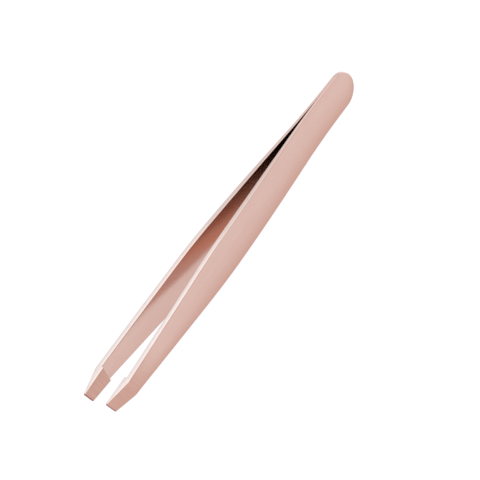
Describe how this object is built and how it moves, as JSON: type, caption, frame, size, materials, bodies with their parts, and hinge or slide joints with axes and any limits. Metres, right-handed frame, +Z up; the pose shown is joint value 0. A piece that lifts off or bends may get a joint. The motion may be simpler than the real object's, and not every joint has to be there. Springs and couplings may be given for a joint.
{
  "type": "slant tweezers",
  "caption": "Slant-tip eyebrow tweezers in rose-coloured steel: sprung arms welded at a rounded head, with raised inner grip pads, squeezed shut by hand.",
  "frame": {"origin": "bottom centre of the bounding box, on the surface that the lower side edges rest on", "axes": "+X along the length from the slanted tips to the welded head, +Y from the front arm to the rear arm, +Z up along the width of the arms"},
  "size_m": [0.095, 0.0094, 0.0101],
  "materials": {
    "rose_metal": "satin rose-coloured plating on stainless spring steel, brushed along the arms, with finer cross-ground tips",
    "weld_metal": "bare resolidified steel, matt"
  },
  "bodies": {
    "head": {"front_arm_weld_end": "rose_metal", "rear_arm_weld_end": "rose_metal", "weld_nugget_inner": "weld_metal", "weld_nugget_outer": "weld_metal"},
    "front_blade": {"front_arm_blade": "rose_metal"},
    "rear_blade": {"rear_arm_blade": "rose_metal"}
  },
  "joints": [
    {"name": "front_arm_flex", "type": "hinge", "parent": "head", "child": "front_blade", "pos_m": [0.0285, -0.00064, 0.00505], "axis": [0, 0, -1], "range_deg": [0, 2.18], "stiffness_Nm_per_rad": 2.2},
    {"name": "rear_arm_flex", "type": "hinge", "parent": "head", "child": "rear_blade", "pos_m": [0.0285, 0.00064, 0.00505], "axis": [0, 0, 1], "range_deg": [0, 2.18], "stiffness_Nm_per_rad": 2.2}
  ],
  "couplings": [
    {"joint": "rear_arm_flex", "follows": "front_arm_flex", "ratio": 1}
  ]
}
